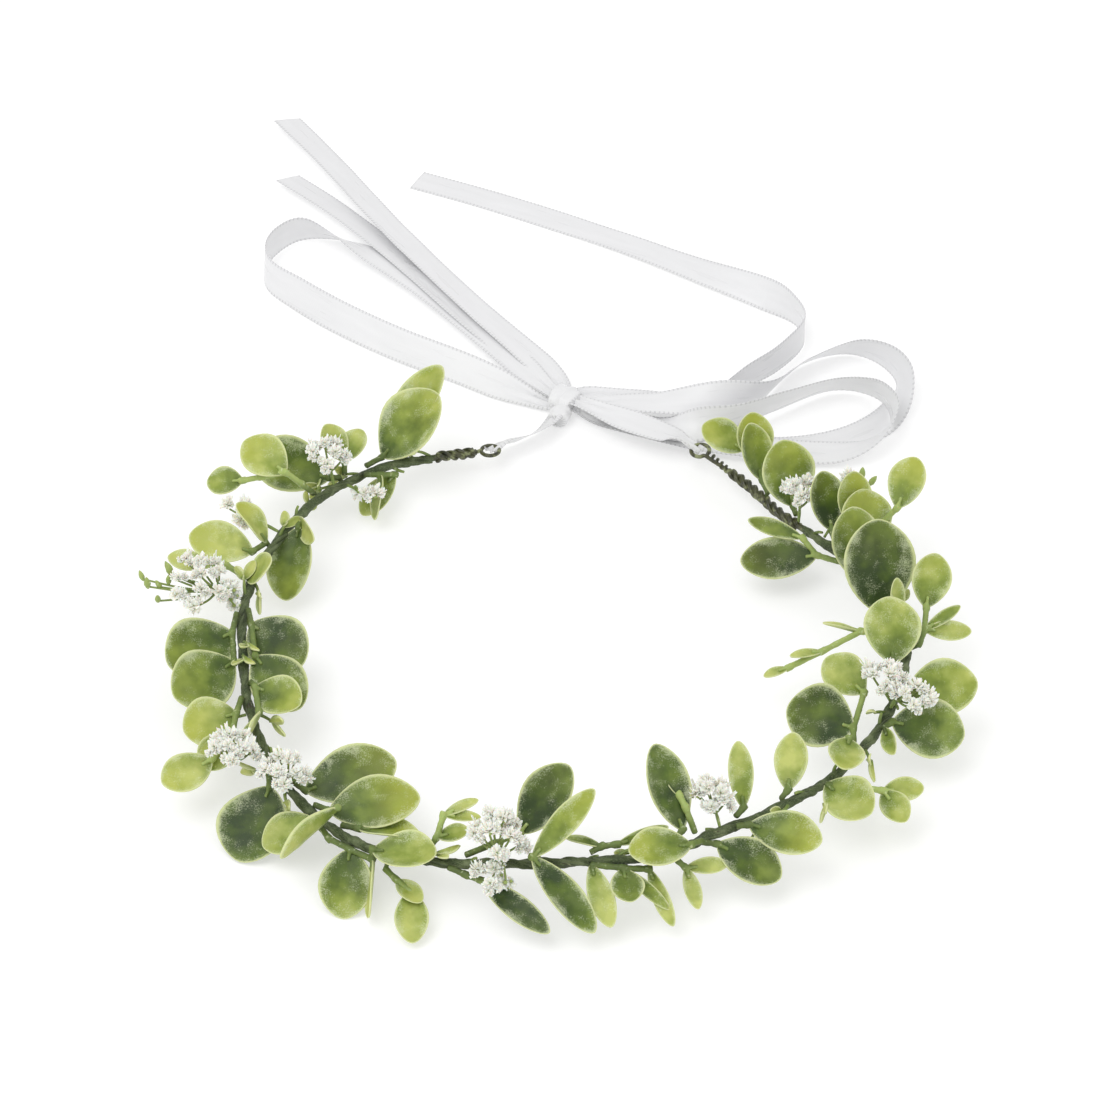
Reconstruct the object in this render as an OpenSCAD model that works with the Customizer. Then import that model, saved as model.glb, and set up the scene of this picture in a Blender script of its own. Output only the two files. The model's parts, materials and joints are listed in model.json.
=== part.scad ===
// Flower crown: a taped wire ring, open at the back, that carries artificial
// eucalyptus sprigs and small white flower sprays, and is closed by two satin ribbons.
// Origin: middle of the head opening, on the surface the crown lies on. +Y is the back.

/* [Ring] */
// Radius of the steel core wire
core_r = 0.9; // [0.7:0.05:1.0]
// Outer radius of the floral tape wound round the core
tape_r = 2; // [1.8:0.1:2.2]
// Radius of each wire eye, to the middle of its wire
eye_r = 2.6; // [2.2:0.1:3]

/* [Foliage] */
// Radius of a sprig's stem
stem_r = 0.8; // [0.6:0.05:0.9]
// Radius of a leaf's petiole
petiole_r = 0.5; // [0.4:0.05:0.6]
// Length of a petiole before the blade starts
petiole_len = 2; // [1.6:0.1:2.5]
// Thickness of a leaf blade
blade_t = 0.6; // [0.4:0.1:0.8]

/* [Flowers] */
// Radius of a flower twig
twig_r = 0.4; // [0.3:0.05:0.5]
// Radius of one floret
floret_r = 2.6; // [2:0.1:3]
// Thickness of one floret
floret_t = 1.6; // [1.2:0.1:2]

/* [Ribbon] */
// Width of the satin ribbon
ribbon_w = 10; // [10:0.5:12]
// Thickness of the ribbon's plain solids
ribbon_t = 0.5; // [0.4:0.05:0.6]

/* [Hidden] */
// stations of the ring, counter-clockwise from the left end: [angle, radius, height]
ring_stations = [
    [109, 86, 7], [120, 87, 9], [132, 88, 12], [145, 88, 14], [160, 88, 15],
    [175, 89, 15], [190, 89, 14], [205, 92, 13], [220, 95, 11], [233, 96, 10],
    [245, 94, 11], [257, 91, 13], [270, 89, 14], [283, 89, 14], [295, 86, 14],
    [310, 87, 14], [325, 88, 14], [340, 88, 14], [355, 88, 13], [366, 86, 12],
    [378, 83, 10], [390, 79, 9], [403, 78, 8], [415, 83, 7], [424, 87, 7]
];
ring_start = ring_stations[0][0];
ring_end = ring_stations[len(ring_stations) - 1][0];
ring_step = 5;
left_eye = [-24, 82, 7];
right_eye = [36, 82, 7];
tape_gap = 0.15;
sides = 8;
swelling_r = 1.25 * stem_r;
blade_points = 14;
eye_wire_r = 0.6;
eye_lead_r = 0.7;
golden_angle = 137.5;
floret_tilt = 35;
knot_r = 5;
knot_lobe_h = 2.6;
knot_gap = 0.4;

// A sprig is a list of branches, each [route, leaves].
// A route's points are [angle round the ring, mm outward from the core, mm above the core].
// A leaf is [route point, heading, rise, roll, length, width]: heading is turned
// counter-clockwise from straight out, rise is up from level, roll turns the face.
sprigs = [
    ["left_end_sprig", [
        [[[131, 1.5, 1.4], [127, 2.5, 2], [124, 6, 2.5]],
         [[1, -100, 45, 10, 21, 19], [2, -88, 50, 0, 24, 14]]],
        [[[133, -1.5, 1.2], [130, -3, 0.5], [127, -3.5, -0.5]],
         [[2, 95, -30, -10, 12, 8], [1, 135, -30, 60, 11, 7]]]
    ]],
    ["left_back_sprig", [
        [[[137, 1.5, 1.4], [139, 2.5, 2.2]],
         [[1, 25, 10, -40, 20, 15]]],
        [[[144, 1.5, 1.4], [146, 3, 6], [148, 6, 11], [150, 12, 9], [151, 17, 7]],
         [[2, 0, 20, -20, 12, 12], [4, 20, -10, -30, 8, 8]]],
        [[[136, 1.5, 1.4], [135, 3, 5]],
         [[1, -75, 30, 10, 8, 7], [1, 0, 50, 0, 9, 8]]]
    ]],
    ["left_upper_sprig", [
        [[[160, 1.5, 1.4], [164, 3, 2.6]],
         [[0, -10, 50, 20, 11, 10], [1, 5, 10, -35, 15, 11]]],
        [[[152, -1.5, 1.4], [154, -3.5, 1.5]],
         [[0, 140, 15, 75, 12, 6], [1, 105, -30, 15, 18, 13]]],
        [[[170, 1.5, 1.4], [168, 8, 2], [168, 14, 1]],
         [[0, 170, 45, 20, 9, 9], [2, 0, 5, -20, 8, 6]]]
    ]],
    ["left_sprig", [
        [[[179, 1.5, 1.4], [184, 2.5, 2], [191, 2.5, 2]],
         [[1, 32, -3, -30, 17, 17], [2, 32, 0, -35, 17, 16]]],
        [[[178, -1.5, 1.4], [182, -2.5, 2], [191, -3.2, 3]],
         [[1, 133, -5, 25, 17, 16], [2, 117, -12, 20, 18, 14]]]
    ]],
    ["left_lower_sprig", [
        [[[199, 1.5, 1.4], [203, 4, 3], [207, 7, 3], [209, 14, 1]],
         [[1, 5, 0, -35, 12, 13], [2, 20, -20, -20, 9, 9], [3, 5, -5, -25, 12, 10]]],
        [[[196, -1.5, 1.4], [199, -2.2, 4], [205, -1.5, 4.5]],
         [[1, 127, 5, 20, 12, 11], [2, 50, -5, 60, 10, 8]]]
    ]],
    ["front_left_sprig", [
        [[[214, 1.5, 0.8], [217, 3.5, -0.5]],
         [[1, 30, -28, 0, 18, 18]]],
        [[[227, 1.5, 0.8], [231, 3, 0], [234.5, 2.5, -0.5], [238.5, 3, -0.5], [238.5, 2.5, 2.4]],
         [[0, -30, -20, -15, 12, 11], [2, 31, -28, 0, 15, 13], [3, 30, -22, 75, 13, 7],
          [4, 107, 8, 10, 14, 11]]],
        [[[219, -1.5, 1.4], [222, -2.5, 1.6]],
         [[1, 153, 12, 25, 21, 15]]],
        [[[225, -1.5, 1.4], [228, -2.4, 2.4], [230, -2, 6]],
         [[1, 137, 8, 20, 20, 14], [2, -3, -10, 80, 17, 9]]],
        [[[231, -1.5, 1.4], [234, -2.4, 2.4]],
         [[1, 120, 0, -20, 13, 10]]]
    ]],
    ["front_drop_sprig", [
        [[[240.5, 3, -2.4], [243, 5, -3.5], [245.5, 6.5, -5]],
         [[2, 28, -18, 0, 12, 8], [1, 70, -5, 10, 7, 5]]]
    ]],
    ["front_bud_sprig", [
        [[[252, -1.5, 1.4], [256, -4.5, 2.6], [260, -8, 3]],
         [[2, 139, 40, 15, 18, 12]]],
        [[[250, 1.5, 0], [253, 3, -1], [255.5, 4, -2]],
         [[2, 65, -10, 25, 19, 6]]],
        [[[246, -1.5, 1.6], [247, -4, 5], [247, -8, 9]],
         [[1, 110, 20, 10, 6, 5], [2, 133, 15, 10, 7, 3], [2, 105, 0, 10, 7, 3]]]
    ]],
    ["front_pair_sprig", [
        [[[264, 1.2, 3.2], [263, 2, 4.4]],
         [[1, 126, 40, 20, 20, 6.5], [1, 52, -25, 10, 21, 8]]]
    ]],
    ["front_middle_sprig", [
        [[[272, -1.5, 1.6], [274, -2.6, 2.6], [276.5, -3, 2.6]],
         [[1, -109, 5, 10, 7, 3], [2, 104, 5, 30, 11, 3]]],
        [[[272, 1.5, 0.5], [277, 2.8, 0], [281, 3, -1]],
         [[0, 17, -25, 20, 14, 6], [1, 3, -10, 0, 8, 8], [1, 45, -20, 30, 14, 3], [2, 13, -25, 30, 13, 4]]]
    ]],
    ["front_right_sprig", [
        [[[285, 1.5, 0.2], [287, 4, -3]],
         [[1, 80, 0, 30, 8, 4], [1, -2, -20, 0, 9, 4]]],
        [[[286, -1.5, 1.6], [288, -3, 3]],
         [[1, 197, 55, 0, 20, 11]]],
        [[[290.5, 1.5, 1.4], [288, 3, 3.4]],
         [[1, -98, 2, -12, 13, 11]]],
        [[[290.5, 1.5, 0.8], [293, 3, -0.5]],
         [[1, 42, -14, 25, 15, 11]]],
        [[[297, 1.5, 1.4], [299, 2.6, 1.6]],
         [[1, 42, 0, 25, 16, 11]]],
        [[[298, -1.5, 1.4], [300, -2.8, 2.2]],
         [[1, 157, 50, 0, 14, 6]]],
        [[[290, -1.5, 1.6], [289, -5, 8], [288.5, -8, 10]],
         [[2, 180, 40, 20, 4, 5]]]
    ]],
    ["right_lower_sprig", [
        [[[307, -1.5, 1.4], [309, -2.5, 2]],
         [[1, 131, 50, 0, 12, 8]]],
        [[[315, 1.5, 1.4], [318, 6, 1], [321, 12, -1]],
         [[0, 0, 0, 25, 13, 12], [2, -20, -10, 20, 8, 7], [2, 45, 0, 30, 8, 6]]],
        [[[324, -1.5, 1.6], [325, -3, 4]],
         [[1, -65, 14, -10, 12, 9]]]
    ]],
    ["right_sprig", [
        [[[325, -1.5, 1.4], [329, -5, 2], [337, -7, 4]],
         [[1, 196, 10, -35, 15, 16], [2, 163, 20, -20, 11, 11]]],
        [[[339, 1.5, 1.4], [341, 2.6, 1.8]],
         [[1, 22, 10, 35, 16, 14]]],
        [[[332, 1.5, 1.4], [334, 2.6, 1.2]],
         [[0, -50, 0, 40, 8, 4], [1, 16, -5, 35, 16, 15]]]
    ]],
    ["right_upper_sprig", [
        [[[346, -1.5, 1.4], [348, -3, 2.2]],
         [[1, 104, 40, 10, 15, 15]]],
        [[[360, -1.5, 1.4], [363, -5, 1.5]],
         [[1, 92, 50, 10, 22, 19.5], [0, 95, 65, 30, 10, 5]]]
    ]],
    ["right_outer_sprig", [
        [[[354, 3.2, 1.2], [357.5, 5, 2.5], [361.5, 6.5, 5]],
         [[2, 73, 50, 10, 12, 10], [1, 5, -5, 40, 10, 5], [1, 30, 20, 30, 9, 3]]]
    ]],
    ["right_inner_twig", [
        [[[355.5, -3.2, 1.2], [356, -12, 3], [350, -22, 1], [345, -30, -2]],
         [[3, -140, 0, 0, 5, 3], [1, 174, 10, 30, 8, 3], [2, -150, 10, 0, 7, 3]]]
    ]],
    ["right_back_sprig", [
        [[[372, -1.5, 1.4], [375, -4, 1]],
         [[1, 84, 55, 10, 17, 14]]],
        [[[378, 1.5, 1.4], [380, 3, 5], [385, 4, 8]],
         [[1, 80, 50, 10, 14, 14], [2, 70, 60, 0, 13, 9]]],
        [[[383, 1.5, 1.4], [383, 8, 8], [382, 13, 15]],
         [[2, 38, 45, 0, 12, 10]]],
        [[[388, 1.5, 1.4], [390, 2.8, 3]],
         [[1, 80, 60, 0, 14, 10]]]
    ]],
    ["right_inner_sprig", [
        [[[382, -3.2, 0.6], [385.5, -7, 1.5], [389, -8, 5.5]],
         [[1, 158, -4, -30, 18, 11.5], [2, 133, 8, -30, 13, 4.5]]]
    ]],
    ["right_end_sprig", [
        [[[399, 1.5, 1.4], [401, 2.8, 2.6]],
         [[1, 70, 60, 0, 16, 15]]],
        [[[408, 1.5, 1.4], [411, 2.5, 3], [413, 3.5, 6], [417, 4, 7]],
         [[1, 69, 60, 0, 14, 9], [2, 48, 55, 0, 12, 10], [3, 103, 25, -20, 11, 10]]]
    ]]
];

// A spray is [name, clusters]: a cluster is [its root, its middle, number of florets,
// spread radius, height over spread].
sprays = [
    ["left_back_spray", [
        [[141, 1.5, 1.6], [139, 3.5, 8], 7, 4.5, 0.7],
        [[139, -1.6, 1], [137, -8, -1], 3, 2.5, 0.8],
        [[155, 1.6, 1.2], [156, 13, 1], 4, 4.5, 0.5]]],
    ["left_spray", [
        [[173, 1.6, 1.2], [174.5, 14, 2.5], 14, 9, 0.5],
        [[175, 1.6, 1.2], [176, 23, 3], 5, 6, 0.4],
        [[197, 1.6, 0.4], [201, 11, -3], 3, 2, 0.6]]],
    ["left_lower_spray", [[[211, 1.6, 0.8], [212, 10, 6], 8, 4.5, 0.7]]],
    ["front_left_spray", [[[219, 0.6, 2], [220, 2, 6], 9, 4.5, 0.9]]],
    ["front_spray", [
        [[257, -0.4, 2], [257, -0.5, 5], 9, 5.5, 1.6],
        [[257, 1.6, 0.8], [257, 6, -1], 4, 3.5, 0.7]]],
    ["front_right_spray", [[[293.5, -1.6, 1.4], [294, -5, 5], 8, 3.6, 1.6]]],
    ["right_spray", [
        [[338, -0.5, 2], [339, -3, 6], 6, 4, 0.8],
        [[336, 1.6, 1.4], [336, 6, 6], 5, 4, 0.8]]],
    ["right_back_spray", [
        [[396, 1.2, 1.8], [398, 1, 9], 5, 3.5, 0.9],
        [[393.5, 1.6, 1.4], [392, 13.5, 12.5], 4, 3, 0.6]]]
];

// A ribbon run is [name, route, share of the ribbon's width]: a route point is [x, y, z, lean], where lean
// turns the ribbon's width from lying flat (0) to standing on edge (90).
ribbon_runs = [
    ["left_ribbon_tie", [[-20, 87, 5, 60], [-14, 91, 3.6, 30], [-8, 97, 2.6, 10], [-4, 105.4, 2, 0]], 0.7],
    ["right_ribbon_tie", [[31, 86, 8, 30], [27, 89, 7.4, 10], [17, 96, 6.4, 0], [2, 106.5, 5, 0]], 0.9],
    ["lower_left_tail", [
        [-90, 226, 0.3, 0], [-73, 208, 0.3, 0], [-53, 183, 0.3, 0], [-31, 152, 0.3, 0],
        [-14, 130, 0.3, 0], [-7, 120, 0.3, 0]], 1],
    ["upper_left_tail", [
        [-92, 259, 0.4, 0], [-77, 235, 0.5, 0], [-55, 196, 1.2, 0], [-32, 160, 1.3, 0],
        [-14, 135, 1.3, 0], [-5, 122, 1.3, 0]], 1],
    ["left_bow_loop", [
        [-7, 116, 2.4, 0], [-24, 140, 2.4, 0], [-43, 165, 2.4, 0], [-60, 182, 2.6, 10],
        [-74, 191, 4.4, 50], [-84, 193, 5.4, 80], [-91, 187, 5.4, 90], [-94, 178, 5.4, 88],
        [-92, 169, 5.2, 75], [-84, 161, 4.8, 60], [-70, 149, 4.3, 50], [-52, 136, 4.1, 45],
        [-31, 124, 3.4, 36], [-9, 111.5, 1, 0]], 1],
    ["long_right_tail", [
        [-49, 227, 0.3, 0], [-28, 217, 0.3, 0], [-4, 204, 0.4, 0], [18, 191, 0.8, 0],
        [38, 177, 1.8, 10], [56, 163, 4, 40], [66, 152, 5.5, 84], [69, 141, 5.5, 90],
        [61, 128, 5.5, 90], [51, 119, 5.5, 80], [38, 112, 3.8, 40], [22, 111, 2.2, 0],
        [5, 114.5, 2.2, 0]], 1],
    ["right_bow_loop", [
        [6, 108, 4.6, 0], [24, 106, 5.6, 0], [42, 106, 7.4, 50], [56, 111, 6, 110],
        [68, 126, 5, 130], [82, 133, 5, 120], [93, 127, 6, 90], [97, 116, 5.5, 60],
        [91, 104, 1.1, 0], [78, 95, 0.8, 0], [60, 91, 0.8, 0], [40, 94, 0.8, 0], [20, 101, 0.8, 0],
        [8, 105, 0.8, 0]], 1],
    ["right_inner_loop", [
        [6, 106, 3, 0], [26, 97, 3.6, 0], [44, 95.5, 8, 90], [60, 105, 7, 110],
        [76, 114, 6, 120], [87, 112, 6.4, 110], [92, 104, 7.4, 90], [92, 96, 7, 70],
        [85, 89, 4.2, 30], [74, 87, 2.2, 0], [56, 89, 2.2, 0], [36, 93, 2.2, 0], [18, 100, 2.2, 0],
        [7, 104, 2.2, 0]], 1]
];
bow_knot_at = [-2, 110, 3.4];

// ---------- geometry of the ring ----------
function unit(v) = v / norm(v);
function out_dir(angle) = [cos(angle), sin(angle), 0];
// Catmull-Rom value between b and c, t from 0 to 1
function smooth_step(a, b, c, d, t) =
    0.5 * (2 * b + (c - a) * t + (2 * a - 5 * b + 4 * c - d) * t * t + (3 * b - a - 3 * c + d) * t * t * t);
function clamp_index(i, list) = max(0, min(i, len(list) - 1));
function smooth_list(list, i, t) = smooth_step(list[clamp_index(i - 1, list)], list[i],
    list[clamp_index(i + 1, list)], list[clamp_index(i + 2, list)], t);
function station_before(angle) =
    max([for (i = [0 : len(ring_stations) - 2]) if (ring_stations[i][0] <= angle) i]);
function ring_station(angle) = let (i = station_before(angle),
    t = (angle - ring_stations[i][0]) / (ring_stations[i + 1][0] - ring_stations[i][0]))
    smooth_list(ring_stations, i, t);
// middle of the core wire at an angle
function core_at(angle) = let (s = ring_station(angle)) s[1] * out_dir(angle) + [0, 0, s[2]];
// a point given by angle, distance outward and distance above the core
function near_core(p) = core_at(p[0]) + p[1] * out_dir(p[0]) + [0, 0, p[2]];
// direction of a leaf: heading turned from straight out, rise up from level
function lead_dir(angle, heading, rise) =
    [cos(angle + heading) * cos(rise), sin(angle + heading) * cos(rise), sin(rise)];

// ---------- shared solids ----------
module rod(a, b, r, sides) {
    d = b - a;
    translate(a)
        rotate([0, acos(d[2] / norm(d)), atan2(d[1], d[0])])
            cylinder(h = norm(d), r = r, $fn = sides);
}
// a branch: rods along the points, with a small swelling round the end of each
module branch(points, r) {
    for (i = [0 : len(points) - 2]) {
        swelling = 1.1 * r * unit(points[i + 1] - points[i]);
        rod(points[i], points[i + 1], r, 8);
        rod(points[i + 1] - swelling, points[i + 1] + swelling, swelling_r, 8);
    }
}
// places its children with +X along the lead, and +Z as the leaf's face
module aim(at, angle, heading, rise, roll) {
    translate(at)
        rotate([0, 0, angle + heading])
            rotate([roll, -rise, 0])
                children();
}
// outline of a blade: narrow at the petiole, broadest past the middle, softly pointed
module blade_outline(length, width) {
    turn = 360 / blade_points;
    polygon([for (i = [0 : blade_points - 1]) let (a = i * turn, x = (1 - cos(a)) / 2)
        [petiole_len + length * x, width / 2 * sin(a) * (0.72 + 0.36 * x)]]);
}
// closed tube swept along points, with its bore when inner is above 0
function sweep_dir(points, i) = unit(points[min(i + 1, len(points) - 1)] - points[max(i - 1, 0)]);
function sweep_side(points, i) = unit(cross([0, 0, 1], sweep_dir(points, i)));
function circle_ring(points, i, r) =
    let (d = sweep_dir(points, i), s = sweep_side(points, i), u = cross(d, s))
    [for (k = [0 : sides - 1]) points[i] + r * (cos(k * 360 / sides) * s + sin(k * 360 / sides) * u)];
// faces of a skin: n rings of m points, ring i starting at point i * stride + first
// The strip named by swapped is split along its other diagonal, so that two facing strips of a
// twisted ribbon keep their distance.
function skin(n, m, stride, first, flip, swapped = -1) = [for (i = [0 : n - 2], k = [0 : m - 1]) let (
    p = first + i * stride + k, q = first + i * stride + (k + 1) % m,
    a = k == swapped ? q : p, b = k == swapped ? q + stride : q,
    c = k == swapped ? p + stride : q + stride, d = k == swapped ? p : p + stride)
    each flip ? [[a, c, b], [a, d, c]] : [[a, b, c], [a, c, d]]];
function fan(m, first, flip) = [for (k = [1 : m - 2])
    flip ? [first, first + k + 1, first + k] : [first, first + k, first + k + 1]];
module tube(points, r) {
    n = len(points);
    rings = [for (i = [0 : n - 1]) each circle_ring(points, i, r)];
    caps = concat(fan(sides, 0, false), fan(sides, (n - 1) * sides, true));
    polyhedron(rings, concat(skin(n, sides, sides, 0, true), caps), convexity = 10);
}
module pipe(points, r, bore) {
    n = len(points);
    rings = [for (i = [0 : n - 1]) each concat(circle_ring(points, i, r), circle_ring(points, i, bore))];
    ends = [for (i = [0, n - 1], k = [0 : sides - 1])
        let (a = i * 2 * sides + k, b = i * 2 * sides + (k + 1) % sides)
        each i == 0
            ? [[a, b, b + sides], [a, b + sides, a + sides]]
            : [[a, b + sides, b], [a, a + sides, b + sides]]];
    walls = concat(skin(n, sides, 2 * sides, 0, true), skin(n, sides, 2 * sides, sides, false));
    polyhedron(rings, concat(walls, ends), convexity = 10);
}
// four corners of the ribbon at one point of its route
function ribbon_corners(route, i, width) = let (
    at = [route[i][0], route[i][1], route[i][2]],
    before = route[max(i - 1, 0)],
    after = route[min(i + 1, len(route) - 1)],
    d = unit([after[0] - before[0], after[1] - before[1], after[2] - before[2]]),
    side = unit(cross([0, 0, 1], d)),
    lean = route[i][3],
    w = cos(lean) * side + sin(lean) * cross(d, side),
    t = cross(d, w))
    [for (c = [[-1, -1], [1, -1], [1, 1], [-1, 1]]) at + c[0] * width / 2 * w + c[1] * ribbon_t / 2 * t];
function smooth_route(route, parts) = [for (i = [0 : len(route) - 2], k = [0 : parts - 1])
    smooth_list(route, i, k / parts), route[len(route) - 1]];
module ribbon(run) {
    route = smooth_route(run[1], 3);
    n = len(route);
    corners = [for (i = [0 : n - 1]) each ribbon_corners(route, i, run[2] * ribbon_w)];
    caps = concat(fan(4, 0, false), fan(4, (n - 1) * 4, true));
    polyhedron(corners, concat(skin(n, 4, 4, 0, true, 2), caps), convexity = 10);
}
module wire_eye(at, wire_end) {
    aside = unit(wire_end - at);
    translate(at)
        rotate_extrude($fn = 48)
            translate([eye_r, 0])
                circle(r = eye_wire_r, $fn = 24);
    rod(at + eye_r * aside, wire_end, eye_lead_r, 24);
}

// ---------- the crown's pieces ----------
function ring_points(from, to) = [for (a = [from : ring_step : to]) core_at(a)];
module main_wire() {
    color("dimgray") tube(ring_points(ring_start, ring_end - 0.1), core_r);
}
module floral_tape() {
    color("darkolivegreen") pipe(ring_points(ring_start + 2, ring_end - 2), tape_r, core_r + tape_gap);
}
module left_wire_eye() {
    color("darkslategray") wire_eye(left_eye, core_at(ring_start) + [0.6, 0, 0]);
}
module right_wire_eye() {
    color("darkslategray") wire_eye(right_eye, core_at(ring_end - 0.1));
}
module sprig_stems(sprig) {
    color("olivedrab") for (b = sprig[1]) {
        points = [for (p = b[0]) near_core(p)];
        branch(points, stem_r);
        for (f = b[1])
            let (end = points[f[0]] + (petiole_len + 1) * lead_dir(b[0][f[0]][0], f[1], f[2]))
                rod(points[f[0]], end, petiole_r, 6);
    }
}
module sprig_leaves(sprig) {
    color("yellowgreen") for (b = sprig[1], f = b[1])
        aim(near_core(b[0][f[0]]), b[0][f[0]][0], f[1], f[2], f[3])
            translate([0, 0, -blade_t / 2])
                linear_extrude(height = blade_t)
                    blade_outline(f[4], f[5]);
}
// florets spread evenly over a flattened ball by the golden angle
function floret_dir(i, n) = let (h = (i + 0.5) / n, turn = i * golden_angle, s = sqrt(1 - h * h))
    [s * cos(turn), s * sin(turn), h];
module flower_spray(clusters) {
    color("ivory") for (c = clusters) {
        root = near_core(c[0]);
        middle = near_core(c[1]);
        for (i = [0 : c[2] - 1]) {
            d = floret_dir(i, c[2]);
            at = middle + c[3] * [d[0], d[1], c[4] * d[2]];
            rod(root, at, twig_r, 6);
            translate(at)
                rotate([0, floret_tilt * (1 - d[2]), atan2(d[1], d[0])])
                    cylinder(h = floret_t, r = floret_r, $fn = 10);
        }
    }
}
module bow_knot() {
    color("white") translate(bow_knot_at)
        for (lift = [-knot_lobe_h - knot_gap / 2, knot_gap / 2])
            translate([0, 0, lift])
                cylinder(h = knot_lobe_h, r = knot_r, $fn = 32);
}
module ribbon_run(run) {
    color("whitesmoke") ribbon(run);
}

main_wire();
floral_tape();
left_wire_eye();
right_wire_eye();
bow_knot();
for (s = sprigs) {
    sprig_stems(s);
    sprig_leaves(s);
}
for (s = sprays)
    flower_spray(s[1]);
for (r = ribbon_runs)
    ribbon_run(r);
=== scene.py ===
"""Flower crown: the looks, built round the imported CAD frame.

Sizes are in metres. MM turns millimetres into metres. Leaves, florets, stems and the ring are read
back from the CAD nodes, so each detailed piece sits exactly where its plain node is.
"""
import json
import math
import random

import bmesh
import bpy
import numpy as np
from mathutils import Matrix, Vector, noise
from mathutils.bvhtree import BVHTree
from mathutils.kdtree import KDTree
from numpy.linalg import norm


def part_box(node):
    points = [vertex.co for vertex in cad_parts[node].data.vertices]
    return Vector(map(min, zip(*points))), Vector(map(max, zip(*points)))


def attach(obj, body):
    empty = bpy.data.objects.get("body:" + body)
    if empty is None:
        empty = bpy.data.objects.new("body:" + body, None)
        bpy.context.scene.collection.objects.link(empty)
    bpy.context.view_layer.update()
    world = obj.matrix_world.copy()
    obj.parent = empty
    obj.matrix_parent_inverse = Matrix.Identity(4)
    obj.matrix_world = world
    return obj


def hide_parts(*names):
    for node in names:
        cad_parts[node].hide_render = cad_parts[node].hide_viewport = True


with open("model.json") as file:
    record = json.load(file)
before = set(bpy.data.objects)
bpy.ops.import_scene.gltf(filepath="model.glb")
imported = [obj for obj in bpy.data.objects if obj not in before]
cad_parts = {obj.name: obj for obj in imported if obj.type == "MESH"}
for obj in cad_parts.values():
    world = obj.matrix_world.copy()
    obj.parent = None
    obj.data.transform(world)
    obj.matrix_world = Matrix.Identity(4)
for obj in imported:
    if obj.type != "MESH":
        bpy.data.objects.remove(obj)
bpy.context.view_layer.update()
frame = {"nodes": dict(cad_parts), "record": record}

MM = 0.001
NODES = frame["nodes"]
BODY_OF = {n: b for b, members in frame["record"]["behaviour"]["bodies"].items() for n in members}

# ---------------------------------------------------------------- camera
# The crown is seen from the front and above, from 1 m, through a long lens.
VIEW_ELEVATION = 40.5
VIEW_DISTANCE = 1.0
AIM = Vector((-6.9, 46.5, 0)) * MM
LENS_MM = 117.2
SENSOR_MM = 36


def add_object(name, data):
    made = bpy.data.objects.new(name, data)
    bpy.context.scene.collection.objects.link(made)
    return made


def make_camera():
    rise = math.radians(VIEW_ELEVATION)
    data = bpy.data.cameras.new("camera")
    data.lens = LENS_MM
    data.sensor_width = SENSOR_MM
    camera = add_object("camera", data)
    camera.location = AIM + VIEW_DISTANCE * Vector((0, -math.cos(rise), math.sin(rise)))
    camera.rotation_euler = (math.pi / 2 - rise, 0, 0)
    bpy.context.scene.camera = camera


make_camera()

# ---------------------------------------------------------------- sizes
# as in part.scad
BLADE_THICK = 0.6 * MM
PETIOLE_R = 0.5 * MM
PETIOLE_INTO_BLADE = 1.0 * MM
FLORET_R, FLORET_DEEP = 2.6 * MM, 1.6 * MM
CORE_R = 0.9 * MM
TAPE_R = 2.0 * MM
RIBBON_W = 10 * MM
# of the looks alone
TAPE_PITCH = 5.0 * MM
RIBBON_THICK = 0.24 * MM
PICOT_PITCH = 1.3 * MM
PLEAT_DEEP, PLEATS = 0.7 * MM, 2.2

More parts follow.
